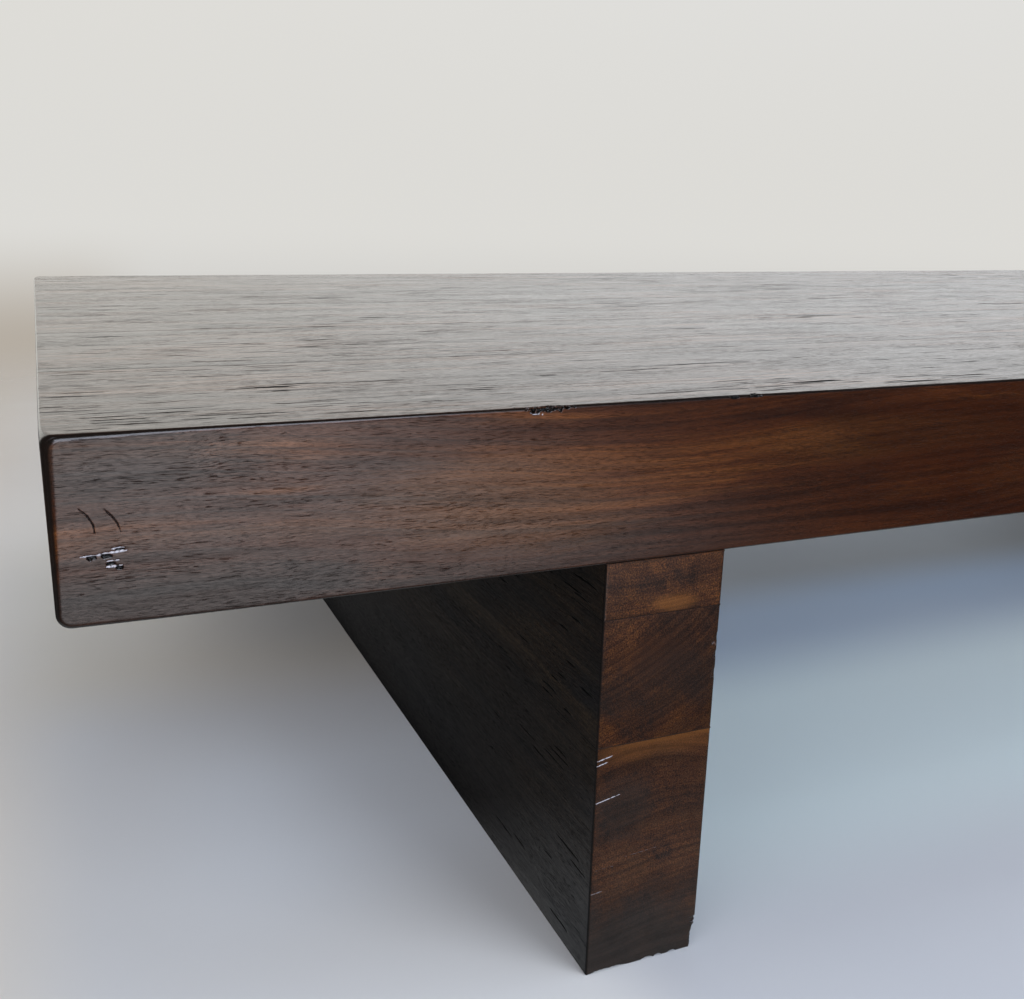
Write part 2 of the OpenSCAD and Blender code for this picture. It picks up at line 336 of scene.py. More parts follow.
    def streaked(self, colour):
        """The colour with its streaks, fibres, single years and pores."""
        streaks = self.step(self.streak, 0.34, 0.66, 0.84, 1.14)
        fibres = self.step(self.fibre, 0.32, 0.68, -0.30, 0.30)
        years = self.step(self.year, 0.35, 0.65, -0.6 * RING_MARK, 0.6 * RING_MARK)
        colour = self.shade(colour, self.plus(streaks, fibres, years))
        return self.mix(self.times(self.pores, 0.4), colour, PORE)

    def painted_shade_glint_and_wear(self, colour):
        """The rolled arrises are painted near black as shade, the marks' hollows are painted black as shade,
        and their bared spots are pale, as bare wood and as a painted highlight.
        """
        # Painted shade: the rolled arrises darkened to near black.
        colour = self.mix(self.times(self.arris, 0.93), colour, PORE)
        # Painted shade inside the marks' hollows.
        colour = self.mix(self.step(self.shaded_hollow, 0.1, 0.6), colour, CRACK_SHADE)
        # Bared wood, pale with a painted highlight.
        return self.mix(self.step(self.bared_and_glint, 0.1, 0.7), colour, BARE_AND_GLINT)

    def hairline_cracks(self):
        """Fine cracks in the top and the underside, crowded in places, painted black as shade."""
        field = self.stretched(17.0, 300.0, detail=1.0, rough=0.4)
        level = self.step(self.stretched(3.0, 14.0), 0.45, 0.72, 0.80, 0.70)
        cracks = self.step(self.minus(field, level), -0.08, -0.05)
        return self.times(cracks, self.step(self.facing[2], 0.7, 0.95))

    def painted_side_shade(self, colour):
        """Painted shade on the legs' broad faces, which look along X: darker than the end grain, bluer as a
        painted reflection, and blacker still towards the foot.
        """
        colour = self.mix(self.side, colour, self.tint(colour, SIDE_SHADE_TINT))
        foot = self.times(self.side, self.step(self.z, 0.16, 0.02, 0.0, 0.6))
        return self.mix(foot, colour, FOOT_SHADE)

    def lacquer(self):
        """How thickly the lacquer lies. It has sunk into the open grain, so the streaks shine unevenly. On
        the arrises it has worn away, except where the seat's face up or down."""
        coat = self.times(self.step(self.streak, 0.34, 0.62, 0.70, 1.0),
                          self.step(self.bands, 0.32, 0.60, 0.75, 1.0),
                          self.step(self.fibre, 0.36, 0.60, 0.58, 1.0))
        coat = self.minus(coat, self.times(self.pores, 0.6), clamp=True)
        coat = self.times(coat, self.step(self.arris, 0.0, 1.0, 1.0, 0.25))
        if self.seat:
            level = self.times(self.arris, self.step(self.facing[2], 0.15, 0.40, 0.0, 0.95))
            coat = self.larger(coat, level)
        coat = self.minus(coat, self.shaded_hollow, clamp=True)
        if not self.seat:
            coat = self.times(coat, self.step(self.side, 0.0, 1.0, 0.6, 0.45))
        return coat

    def finished(self, colour):
        """The satin lacquer over the grain, which ends the material."""
        height = self.plus(self.times(self.fibre, 0.45), self.times(self.pores, -1.0))
        height = self.plus(height, self.times(self.streak, 0.35))
        rough = self.plus(self.step(self.streak, 0.34, 0.66, 0.46, 0.30), self.times(self.pores, 0.3))
        coat = self.lacquer()
        if self.seat:
            cracks = self.hairline_cracks()
            # Painted shade in the hairline cracks.
            colour = self.mix(cracks, colour, CRACK_SHADE)
            height = self.minus(height, self.times(cracks, 4.0))
            coat = self.minus(coat, cracks, clamp=True)
            rough = self.maths("ADD", rough, self.times(cracks, 0.6), clamp=True)
        else:
            colour = self.painted_side_shade(colour)
            rough = self.maths("ADD", rough, self.times(self.side, 0.2), clamp=True)
        return self.finish(SATIN, Base_Color=colour, Roughness=rough, Coat_Weight=coat,
                           Normal=self.bump(height, 0.14 * MM))


def walnut(name, grain, pith, offset, tones, stains=()):
    """One board's material. stains are soft marks, (centre, radii, colour, strength), in mm."""
    wood = Walnut(name, grain, pith, offset)
    colour = wood.figure(tones)
    for stain in stains:
        colour = wood.stained(colour, *stain)
    return wood.finished(wood.painted_shade_glint_and_wear(wood.streaked(colour)))


# ---------------------------------------------------------------- boards

def spread(lo, hi, coarse, edge_lo, edge_hi, fine):
    """Values from lo to hi: steps of about fine within edge_lo and edge_hi of the two ends, and of
    about coarse between them."""
    def run(a, b, step):
        count = max(1, round((b - a) / step))
        return [a + (b - a) * i / count for i in range(count)]
    return (run(lo, lo + edge_lo, fine) + run(lo + edge_lo, hi - edge_hi, coarse)
            + run(hi - edge_hi, hi, fine) + [hi])


FINE = 64  # parts that a grid cell can be cut into, each way
Mark = namedtuple("Mark", "lo hi cell shape")  # a box, the size of its pieces, and what it does at a point


def parts_of(span, cell):
    """The power of two, up to FINE, that a span is cut into for pieces of about a cell's size."""
    return min(FINE, 2 ** max(0, math.ceil(math.log2(span / cell))))


class GridBox:
    """A closed box whose faces are grids through the given coordinates. Where a mark lies, a grid cell is
    cut finer, and its neighbours take the extra points into their edges."""

    def __init__(self, axes, marks):
        self.axes = axes
        self.last = [len(values) - 1 for values in axes]
        self.index, self.points, self.faces = {}, [], []
        self.edge_parts = {}
        sides = [(fixed, side) for fixed in range(3) for side in (0, self.last[fixed])]
        cells = [cell for fixed, side in sides for cell in self.cells(fixed, side, marks)]
        for cell in cells:
            self.fill(*cell)

    def cells(self, fixed, side, marks):
        """The cells of one side, each with the parts that it is cut into both ways."""
        u, v = (fixed + 1) % 3, (fixed + 2) % 3
        plane = self.axes[fixed][side]
        near = [m for m in marks if m.lo[fixed] <= plane <= m.hi[fixed]]
        for a in range(self.last[u]):
            column = [m for m in near if m.lo[u] < self.axes[u][a + 1] and m.hi[u] > self.axes[u][a]]
            for b in range(self.last[v]):
                at = [0, 0, 0]
                at[fixed], at[u], at[v] = side, a, b
                cuts = [1, 1]
                for m in column:
                    if m.lo[v] < self.axes[v][b + 1] and m.hi[v] > self.axes[v][b]:
                        for way, axis in enumerate((u, v)):
                            span = self.axes[axis][at[axis] + 1] - self.axes[axis][at[axis]]
                            cuts[way] = max(cuts[way], parts_of(span, m.cell[axis]))
                for axis, other, count in ((u, v, cuts[0]), (v, u, cuts[1])):
                    for step in (0, 1):
                        start = list(at)
                        start[other] += step
                        key = (axis, tuple(start))
                        self.edge_parts[key] = max(self.edge_parts.get(key, 1), count)
                yield fixed, u, v, tuple(at), cuts

    def point(self, fine):
        """The index of the point at a place counted in FINE parts of the grid's cells."""
        if fine not in self.index:
            self.index[fine] = len(self.points)
            place = []
            for axis, count in enumerate(fine):
                i, part = divmod(count, FINE)
                value = self.axes[axis][i]
                if part:
                    value += (self.axes[axis][i + 1] - value) * part / FINE
                place.append(value)
            self.points.append(place)
        return self.index[fine]

    def fill(self, fixed, u, v, at, cuts):
        """The faces of one cell, going round each with every point that lies on its edges."""
        du, dv = FINE // cuts[0], FINE // cuts[1]
        for i in range(cuts[0]):
            for j in range(cuts[1]):
                lo = [c * FINE for c in at]
                lo[u] += i * du
                lo[v] += j * dv
                ring = self.side(at, lo, u, v, du, dv, j == 0, False)
                ring += self.side(at, lo, v, u, dv, du, i == cuts[0] - 1, True)
                ring += self.side(at, lo, u, v, du, dv, j == cuts[1] - 1, True)[::-1]
                ring += self.side(at, lo, v, u, dv, du, i == 0, False)[::-1]
                ring = [ring[k] for k in range(len(ring)) if ring[k] != ring[k - 1]]
                self.faces.append(ring if at[fixed] else ring[::-1])

    def side(self, at, lo, axis, other, length, width, border, far):
        """The points along one side of a small face, both corners included."""
        step = length
        if border:
            start = list(at)
            start[other] += far
            step = min(length, FINE // self.edge_parts[axis, tuple(start)])
        points = []
        for run in range(0, length + 1, step):
            fine = list(lo)
            fine[axis] += run
            fine[other] += width if far else 0
            points.append(self.point(tuple(fine)))
        return points


def roll_arris(p, box, corners, arris):
    """Rounds a board's outline seen along Y, and its arrises with the front and back faces. p is a point
    on the sharp box, corners gives each outline corner's radius at a depth from the front and back, and
    arris each side's radius at a point with its way out (x, z). All in mm."""
    lo, hi = box
    sides = [-1 if 2 * p[i] < lo[i] + hi[i] else 1 for i in range(3)]
    edge = [(lo if side < 0 else hi)[axis] for axis, side in enumerate(sides)]
    dx, dy, dz = (abs(p[i] - edge[i]) for i in range(3))
    radius = corners(sides[0], sides[2], p.y)
    if dx < radius and dz < radius:
        past_x, past_z = radius - dx, radius - dz
        reach, length = max(past_x, past_z), math.hypot(past_x, past_z)
        out_x, out_z = past_x / length, past_z / length
        depth = radius - reach
        dx, dz = radius - reach * out_x, radius - reach * out_z
    elif dx < dz:
        out_x, out_z, depth = 1.0, 0.0, dx
    else:
        out_x, out_z, depth = 0.0, 1.0, dz
    size = arris(*sides, p, out_x ** 2, out_z ** 2)
    if depth < size and dy < size:
        past_face, past_end = size - depth, size - dy
        reach, length = max(past_face, past_end), math.hypot(past_face, past_end)
        shift = (size - reach * past_face / length) - depth
        dx, dz = dx + shift * out_x, dz + shift * out_z
        dy = size - reach * past_end / length
    return Vector((edge[0] - sides[0] * dx, edge[1] - sides[1] * dy, edge[2] - sides[2] * dz))


def fade(t):
    """1 at 0, falling smoothly to 0 at 1."""
    t = min(max(t, 0.0), 1.0)
    return 1 - t * t * (3 - 2 * t)


def ripple(p, size, seed=0.0):
    return noise.noise(Vector((p[0] / size, p[1] / size, p[2] / size + seed)))


def around(points, margin):
    """The box round some points, in mm, with a margin."""
    lo = tuple(min(p[i] for p in points) - margin for i in range(3))
    return lo, tuple(max(p[i] for p in points) + margin for i in range(3))


def pit(centre, radii, inward, shaded_hollow=1.0, bared_and_glint=0.0, ragged=0.5, cell=0.6):
    """A chip or dent. inward is the way it is pushed in and how deep, in mm."""
    lo, hi = ([c + s * 1.4 * r for c, r in zip(centre, radii)] for s in (-1, 1))

    def shape(p):
        away = math.sqrt(sum(((p[i] - centre[i]) / radii[i]) ** 2 for i in range(3)))
        away *= 1 + ragged * ripple(p, 2.2)
        depth = fade(max(0.0, 1.6 * away - 0.6))
        # The lip's lower side is pale as bared wood and as a painted highlight.
        lip = fade(abs(away - 0.75) / 0.25) * min(max((centre[2] - p[2]) / radii[2] + 0.2, 0.0), 1.0)
        return Vector(inward) * depth * (1 + 0.4 * ripple(p, 0.9)), shaded_hollow * depth, bared_and_glint * lip
    return Mark(lo, hi, (cell,) * 3, shape)


def scratch(points, width, inward, shaded_hollow=1.0, bared_and_glint=0.0, cell=0.45):
    """A scored line through points on a face, fading at both ends."""
    points = [Vector(p) for p in points]
    total = sum((b - a).length for a, b in zip(points, points[1:]))

    def shape(p):
        best, gone, at = 1e9, 0.0, 0.0
        for a, b in zip(points, points[1:]):
            leg = b - a
            t = min(max((p - a).dot(leg) / leg.length_squared, 0.0), 1.0)
            gap = (p - (a + leg * t)).length
            if gap < best:
                best, at = gap, (gone + leg.length * t) / total
            gone += leg.length
        taper = math.sqrt(max(0.0, 1 - (2 * at - 1) ** 2))
        depth = fade(best / (width * (0.25 + 0.75 * taper) / 2 + 1e-6))
        broken = max(0.0, 0.9 + 1.1 * ripple(p, 1.3))
        return Vector(inward) * depth * broken, shaded_hollow * depth, bared_and_glint * depth * min(1.0, broken)
    return Mark(*around(points, width), (cell,) * 3, shape)


def split(centre, length, width, depth, along, face, side):
    """A drying split with the grain. along and face are the axes it runs on and opens through, and side
    is the way out of the face."""
    across = 3 - along - face
    cell = [0.0, 0.0, 0.0]
    cell[along], cell[across], cell[face] = 2.6, width / 3.0, 1.0
    lo, hi = list(centre), list(centre)
    for axis, reach in ((along, length / 2), (across, width + 0.8), (face, 0.2)):
        lo[axis] -= reach
        hi[axis] += reach

    def shape(p):
        t = (p[along] - centre[along]) / (length / 2)
        half = width / 2 * math.sqrt(max(0.0, 1 - t * t)) * (1 + 0.5 * ripple(p, 5.0, 3.1))
        drift = 0.5 * ripple((p[along], 0.0, centre[across]), 8.0)
        if half <= 0.01:
            return Vector(), 0.0, 0.0
        open_ = fade(abs(p[across] - centre[across] - drift) / half)
        push = Vector()
        push[face] = -side * depth * open_
        return push, min(1.0, 2 * open_), 0.0
    return Mark(tuple(lo), tuple(hi), tuple(cell), shape)


def hand_worn(p, lo, hi, faces):
    """How far the outer faces have been planed and worn away at a point, in mm."""
    push = Vector()
    for axis, side in faces:
        limit = (lo if side < 0 else hi)[axis]
        if abs(p[axis] - limit) < 0.01:
            push[axis] = -side * 0.12 * (1 + ripple(p, 70.0) + 0.4 * ripple(p, 23.0))
    return push


def build_board(node, material, steps, corners, arris, worn, marks=()):
    """Replaces one CAD board. steps is, for each axis, (coarse, low edge, high edge, fine) in mm; corners
    and arris give the radii, and worn lists the outer faces as (axis, side)."""
    lo, hi = (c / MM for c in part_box(node))
    grid = GridBox([spread(lo[i], hi[i], *steps[i]) for i in range(3)], marks)
    sharp = [Vector(p) for p in grid.points]
    places = [roll_arris(p, (lo, hi), corners, arris) + hand_worn(p, lo, hi, worn) for p in sharp]
    shaded_hollow, bared_and_glint = [0.0] * len(sharp), [0.0] * len(sharp)
    table = np.array(grid.points)
    for mark in marks:
        for i in np.nonzero(((table >= mark.lo) & (table <= mark.hi)).all(axis=1))[0]:
            push, dark, pale = mark.shape(sharp[i])
            places[i] += push
            shaded_hollow[i] = max(shaded_hollow[i], dark)
            bared_and_glint[i] = max(bared_and_glint[i], pale)
    points = np.clip(np.array(places), lo, hi) * MM
    mesh = bpy.data.meshes.new(node + "_board")
    mesh.from_pydata(points.tolist(), [], grid.faces)
    mesh.shade_smooth()
    # The painted shade of the hollows and the pale of the bared spots, with their painted highlight, go to
    # the material.
    for name, values in (("shaded_hollow", shaded_hollow), ("bared_and_glint", bared_and_glint)):
        mesh.attributes.new(name, "FLOAT", "POINT").data.foreach_set("value", values)
    mesh.materials.append(material)
    board = bpy.data.objects.new(mesh.name, mesh)
    bpy.context.scene.collection.objects.link(board)
    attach(board, "root")
    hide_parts(node)


def front_marks(left, front, top):
    """Scratches, gouges and chips on the seat's front, near its left end."""
    def at(from_end, down):
        return (left + from_end, front, top - down)
    marks = []
    for path in ([(15, 38), (19, 42), (21.5, 47), (22, 52)], [(27, 39), (30.5, 43), (33, 47), (34.5, 52)]):
        marks.append(scratch([at(*p) for p in path], 0.9, (0, 0.35, 0)))
    for from_end, down, size in ((18.5, 64.4, 2.4), (27, 64.0, 3.0), (33.5, 61.0, 3.0), (28.5, 68.4, 2.6),
                                 (33, 71.0, 2.4)):
        gouge = pit(at(from_end, down), (size, 2, 1.2), (0, 0.9, 0), shaded_hollow=0.8, ragged=0.9, cell=0.4)
        marks.append(gouge)
    for a, b, width in (((14, 63.4), (25, 63.2), 1.2), ((23, 62.8), (37, 62.0), 1.7),
                        ((29, 60.6), (36, 60.2), 1.0), ((26, 67.0), (33, 66.8), 0.9),
                        ((26, 70.0), (34, 69.8), 1.8)):
        marks.append(scratch([at(*a), at(*b)], width, (0, 0.5, 0), shaded_hollow=0.0, bared_and_glint=1.0, cell=0.4))
    marks.append(pit(at(271.5, 0.4), (14, 3.2, 2.4), (0, 1.5, -1.4), shaded_hollow=0.6, ragged=0.8, cell=0.6))
    marks.append(pit(at(264.5, 2.6), (4.5, 2, 1.8), (0, 1.2, -0.4),
                     shaded_hollow=0.0, bared_and_glint=0.8, ragged=0.7, cell=0.5))
    marks.append(pit(at(402, 0.5), (4, 2, 1.6), (0, 0.8, -0.8), ragged=0.6))
    marks.append(pit(at(418, 0.5), (5, 4, 1.4), (0, 0.6, -0.8), ragged=0.6))
    return marks


def top_splits(rng, lo, hi, stave):
    """Drying splits in the top, most of them near the left end and in two bands across the seat."""
    marks = []
    bands = ((16, 52), (180, 226), (20, 980))
    y_lo, y_hi = (c.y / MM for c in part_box(stave))
    for _ in range(90):
        y = lo.y + rng.choice([rng.uniform(*band) for band in bands])
        x = lo.x + 2 + min(rng.expovariate(1 / 190.0), 1600)
        length, width = rng.uniform(7, 30), rng.uniform(0.8, 1.7)
        if y_lo + 2 < y < y_hi - 2:
            marks.append(split((x + length / 2, y, hi.z), length, width, 1.3, along=0, face=2, side=1))
    return marks


def front_stains(left, front):
    """The seat's front is greyer towards its left corners and more amber further along."""
    slate, amber = rgb(0.016, 0.010, 0.008), rgb(0.110, 0.040, 0.008)
    return [((left + 20, front, 394), (110, 60, 20), slate, 0.75),
            ((left + 60, front, 313), (150, 60, 19), slate, 0.8),
            ((left + 250, front, 352), (90, 60, 34), amber, 0.35),
            ((left + 520, front, 372), (130, 60, 14), amber, 0.3),
            ((left + 660, front, 350), (150, 60, 90), rgb(0.021, 0.0046, 0.0009), 0.75)]


def seat_board(i):
    """One stave of the seat. The first has the seat's front face and its marks, and the last the back."""
    lo, hi = (c / MM for c in cad_box)
    bottom, top = (c.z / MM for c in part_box(SEAT[i]))
    outer = {0: -1, len(SEAT) - 1: 1}.get(i, 0)
    stains = front_stains(lo.x, lo.y) if outer < 0 else ()
    material = walnut("seat_walnut_%d" % (i + 1), "X", SEAT_PITHS[i], SEAT_OFFSETS[i], ESPRESSO, stains)

    def corners(side_x, side_z, y):
        away = min(y - lo.y, hi.y - y)
        return 8.0 if side_z < 0 else 2.0 + 7.0 * math.exp(-away / 9.0)

    def arris(side_x, side_y, side_z, p, end, flat):
        if side_y != outer:
            return 0.3
        near_end = math.exp(-(min(p.x - lo.x, hi.x - p.x) / 40.0) ** 2)
        upright = 3.0 + 3.5 * (p.z - bottom) / (top - bottom)
        long_edge = (2.3 + 1.6 * near_end) if side_z > 0 else (1.5 + 1.6 * near_end)
        return end * upright + flat * long_edge * (1 + 0.25 * ripple(p, 60.0))

    marks = top_splits(random.Random(40), lo, hi, SEAT[i])
    if outer < 0:
        marks += front_marks(lo.x, lo.y, hi.z)
    y_steps = (7, 8 if outer < 0 else 1.2, 8 if outer > 0 else 1.2, 0.5)
    steps = [(20, 10, 10, 0.6), y_steps, (12, 9, 9, 0.5)]
    worn = [(0, -1), (0, 1), (2, 1)] + ([(1, outer)] if outer else [])
    build_board(SEAT[i], material, steps, corners, arris, worn, marks)


def seat_boards():
    for i in range(len(SEAT)):
        seat_board(i)


def leg_front_marks(left, right, front, top):
    """Scratches from the left arris, dents on the right one and a worn foot, on the left leg's front."""
    def at(from_left, down):
        return (left + from_left, front, top - down)
    marks = []
    for a, b, width, pale in (((0.5, 137.5), (12, 135), 1.2, 1.0), ((0.5, 141), (9, 139), 1.3, 0.9),
                              ((0.5, 169), (20, 165), 1.1, 0.9), ((24, 215), (52, 213), 0.8, 0.35),
                              ((2, 221), (18, 220), 0.8, 0.3), ((0.5, 239), (10, 238), 1.1, 0.5)):
        marks.append(scratch([at(*a), at(*b)], width, (0, 0.4, 0), shaded_hollow=0.0, bared_and_glint=pale))
    width = right - left
    for from_left, down, size in ((width - 1, 62, 5), (width - 0.5, 74, 4), (width - 0.8, 87, 5)):
        marks.append(pit(at(from_left, down), (3.2, 3, size), (-0.12, 0.4, 0),
                         shaded_hollow=0.0, bared_and_glint=0.3, cell=0.8))
    marks.append(pit(at(width - 1, top - 23), (4, 3, 3.5), (-0.9, 0.8, 0), shaded_hollow=0.0, bared_and_glint=0.4, cell=0.7))
    marks.append(pit(at(width + 1, top - 6), (6, 9, 19), (-2.4, 1.4, 0.6), shaded_hollow=0.0, ragged=0.2, cell=1.2))
    for share, size, pale in ((0.20, 17, 0.0), (0.56, 6, 0.2), (0.66, 4, 0.5), (0.79, 4.5, 0.5)):
        marks.append(pit(at(width * share, top), (size, 6, 2.0), (0, 0.6, 0.9),
                         shaded_hollow=0.0, bared_and_glint=pale, cell=0.8))
    return marks


def leg_side_splits(rng, box, side):
    """Splits along the grain in a leg board's outer face, more of them near the front."""
    lo, hi = box
    marks = []
    x = (lo if side < 0 else hi).x
    for _ in range(16):
        length = rng.uniform(10, 34)
        y = lo.y + 6 + min(rng.expovariate(1 / 150.0), 880)
        z = rng.uniform(lo.z + 4, hi.z - 4)
        width = rng.uniform(0.9, 1.8)
        marks.append(split((x, y + length / 2, z), length, width, 1.4, along=1, face=0, side=side))
    return marks


def leg_stains(name, front):
    """Amber and charcoal marks on a leg's end grain, placed on the left leg's front."""
    amber, charcoal = rgb(0.15, 0.056, 0.011), rgb(0.012, 0.010, 0.009)
    stains = {"upper": [((-681.5, front, 272.5), (17, 60, 6), amber, 0.6)],
              "middle": [((-700, front, 236), (30, 60, 14), rgb(0.036, 0.0125, 0.0050), 0.6),
                         ((-690, front, 215), (80, 60, 26), charcoal, 0.45)],
              "lower": [((-680, front, 172), (60, 60, 11), amber, 0.28),
                        ((-672, front, 174.5), (45, 60, 3.0), amber, 0.35),
                        ((-712, front, 128), (26, 60, 24), charcoal, 0.6),
                        ((-700, front, 0), (110, 80, 62), charcoal, 0.85)]}
    return stains[name]


def leg_board(side, i):
    """One board of a leg. The foot's lower arrises are worn, and the left leg's front is marked."""
    name = BOARDS[i]
    node = "%s_leg_%s_board" % (side, name)
    lo, hi = (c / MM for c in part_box(node))
    left, foot = side == "left", name == "lower"
    flip = 1 if left else -1
    pith = (flip * LEG_PITHS[i][0], LEG_PITHS[i][1])
    offset = (20.0 + 3.7 * i + (0.0 if left else 50.0), 5.1 * i, 1.3 * i)
    tones = CHARCOAL[:2] + (FOOT_LIGHT,) if foot else CHARCOAL
    stains = leg_stains(name, lo.y) if left else ()
    material = walnut("%s_leg_walnut_%s" % (side, name), "Y", pith, offset, tones, stains)

    def corners(side_x, side_z, y):
        return 1.0 if foot and side_z < 0 else 0.2

    def arris(side_x, side_y, side_z, p, upright, level):
        return 1.8 * upright + corners(side_x, side_z, p.y) * level

    marks = leg_side_splits(random.Random(70 + i), (lo, hi), -flip)
    if left:
        seat_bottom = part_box(SEAT[0])[0].z / MM
        front = leg_front_marks(lo.x, hi.x, lo.y, seat_bottom)
        marks += [m for m in front if m.lo[2] < hi.z and m.hi[2] > lo.z]
    steps = [(14, 3, 3, 0.5), (20, 3, 3, 0.5), (12, 3 if foot else 1.2, 1.2, 0.4)]
    worn = [(0, -1), (0, 1), (1, -1), (1, 1)]
    build_board(node, material, steps, corners, arris, worn, marks)


def leg_boards():
    for side in ("left", "right"):
        for i in range(len(BOARDS)):
            leg_board(side, i)


# ---------------------------------------------------------------- hardware

def powder_coat(name):
    n = material_nodes(name)
    place = n.place()
    peel = n.noise(place, scale=900.0, detail=2.0)
    dust = n.noise(place, scale=35.0, detail=4.0, rough=0.6)
    colour = n.mix(n.step(dust, 0.45, 0.75, 0.0, 0.5), rgb(0.012, 0.012, 0.013), rgb(0.035, 0.033, 0.031))
    return n.finish({"IOR": 1.5}, Base_Color=colour, Roughness=n.step(dust, 0.3, 0.7, 0.38, 0.55),
                    Normal=n.bump(peel, 0.05 * MM))


def zinc(name):
    n = material_nodes(name)
    place = n.place()
    spangle = n.noise(place, scale=400.0, detail=3.0)
    stain = n.noise(place, scale=90.0, detail=4.0, rough=0.65)
    colour = n.mix(n.step(stain, 0.4, 0.7), rgb(0.55, 0.56, 0.58), rgb(0.38, 0.36, 0.31))
    return n.finish({"Metallic": 1.0}, Base_Color=colour, Roughness=n.step(spangle, 0.3, 0.7, 0.25, 0.45),
                    Normal=n.bump(spangle, 0.02 * MM))


def beech(name):
    n = material_nodes(name)
    fleck = n.noise(n.vector("MULTIPLY", n.place(), (60.0, 900.0, 900.0)), detail=3.0)
    colour = n.mix(n.step(fleck, 0.35, 0.7), rgb(0.55, 0.36, 0.20), rgb(0.38, 0.23, 0.12))
    return n.finish({"IOR": 1.5}, Base_Color=colour, Roughness=n.step(fleck, 0.3, 0.7, 0.5, 0.65),
                    Normal=n.bump(fleck, 0.05 * MM))


def dress_hardware():
    """Better materials on the CAD nodes that keep their shape."""
    by_slot = {"black_steel": powder_coat("black_powder_coat"), "zinc_steel": zinc("bright_zinc"),
               "beech": beech("plain_beech")}
    for part in frame["record"]["subparts"]:
        material = by_slot.get(part["material_slot"])
        if material is not None:
            for slot in frame["nodes"][part["node"]].material_slots:
                slot.material = material


# ---------------------------------------------------------------- stage and light

def floor_colour_with_painted_light(n, spot, x, y):
    """Painted light and shade on the floor: warm beside and behind the seat's left end; from the left leg to
    the right, cool blue painted light in front of the seat and painted shade under it; a painted pool of
    light beside the left leg and painted shade under the seat behind it; and grey or beige away from the
    bench."""
    grey, tan, sand = rgb(0.74, 0.75, 0.77), rgb(0.77, 0.715, 0.62), rgb(0.81, 0.765, 0.70)
    sky_light, slate, steel = rgb(0.84, 0.96, 1.0), rgb(0.54, 0.63, 0.77), rgb(0.595, 0.62, 0.68)
    warm = n.mix(n.step(y, -0.05, 0.15), grey, tan)
    # Painted shade under the seat behind the left leg.
    corner = n.times(n.step(x, -0.98, -0.76), n.step(y, -0.04, 0.22, 0.0, 0.9))
    warm = n.mix(corner, warm, rgb(0.46, 0.45, 0.43))
    warm = n.mix(n.step(x, -1.15, -1.03), sand, warm)
    # A painted pool of light beside the left leg.
    light_pool_beside_leg = n.times(n.step(x, -1.06, -0.88), n.step(y, 0.02, -0.18), n.step(y, -0.42, -0.26, 0.1, 1.0))
    left = n.mix(light_pool_beside_leg, warm, rgb(0.88, 0.93, 1.0))
    # Cool blue painted light in front of the seat, painted shade under it.
    cool_light_and_shade = n.mix(n.step(y, -0.20, -0.02), sky_light, slate)
    cool_light_and_shade = n.mix(n.step(y, 0.02, 0.17), cool_light_and_shade, rgb(0.46, 0.45, 0.44))
    cool_light_and_shade = n.mix(n.step(y, -0.36, -0.52), cool_light_and_shade, steel)
    near = n.mix(n.step(x, -0.74, -0.66), left, cool_light_and_shade)
    outer = n.mix(n.step(x, -1.3, -0.8), rgb(0.70, 0.60, 0.49), rgb(0.62, 0.60, 0.575))
    away = n.vector("LENGTH", n.vector("SUBTRACT", spot, (-0.35, -0.10, 0.0)))
    colour = n.mix(n.step(away, 0.75, 1.45), near, outer)
    cloud = n.noise(spot, scale=2.2, detail=4.0)
    return n.mix(n.step(cloud, 0.38, 0.64, 0.0, 0.12), colour, rgb(0.80, 0.80, 0.80))


def floor_gleam(n, x, y):
    """What the wood mirrors of the floor: a bright patch in front of the seat's left half, a faint light
    beside and before the left leg, and a glow far behind."""
    patch = n.times(n.step(x, 0.20, -0.60), n.step(y, -0.95, -1.55))
    patch = n.times(patch, n.step(x, -1.40, -1.02, 0.0, 2.95))
    behind = n.step(y, 0.7, 1.4, 0.005, 0.30)
    beside = n.times(n.step(x, -0.72, -0.77), n.step(x, -1.35, -0.85, 0.0, 0.085))
    before = n.times(n.step(y, -0.84, -0.60), n.step(y, -0.2, -0.45, 0.0, 0.42))
    gleam = n.plus(patch, behind, n.larger(beside, before))
    return n.add("ShaderNodeEmission", {"Color": rgb(0.95, 0.97, 1.0), "Strength": gleam})


def pale_floor():
    """A matt floor that turns clear away from the bench, where the backdrop takes over."""
    n = material_nodes("pale_floor")
    spot = n.place()
    x, y, _ = n.split(spot)
    colour = floor_colour_with_painted_light(n, spot, x, y)
    matt = n.add("ShaderNodeBsdfPrincipled", {"Base Color": colour, "Roughness": 0.8})
    clear = n.add("ShaderNodeBsdfTransparent")
    faded = n.blend(n.step(n.vector("LENGTH", spot), 1.3, 3.2), matt, clear)
    mirror_ray = n.add("ShaderNodeLightPath").outputs["Is Glossy Ray"]
    return n.end("ShaderNodeOutputMaterial", n.blend(mirror_ray, faded, floor_gleam(n, x, y)))


def make_floor():
    bm = bmesh.new()
    bmesh.ops.create_circle(bm, cap_ends=True, segments=96, radius=9.0)
    mesh = bpy.data.meshes.new("floor")
    bm.to_mesh(mesh)
    bm.free()
    mesh.materials.append(pale_floor())
    floor = bpy.data.objects.new("floor", mesh)
    bpy.context.scene.collection.objects.link(floor)


def lit_room(n, x, z):
    """What lights the bench: off-white on the left, bluer on the right, and grey overhead."""
    sides = n.mix(n.step(x, -0.6, 0.6), rgb(1.05, 1.03, 1.05), rgb(0.80, 1.02, 1.36))
    return n.mix(n.step(z, 0.30, 0.90), sides, rgb(0.30, 0.31, 0.33))


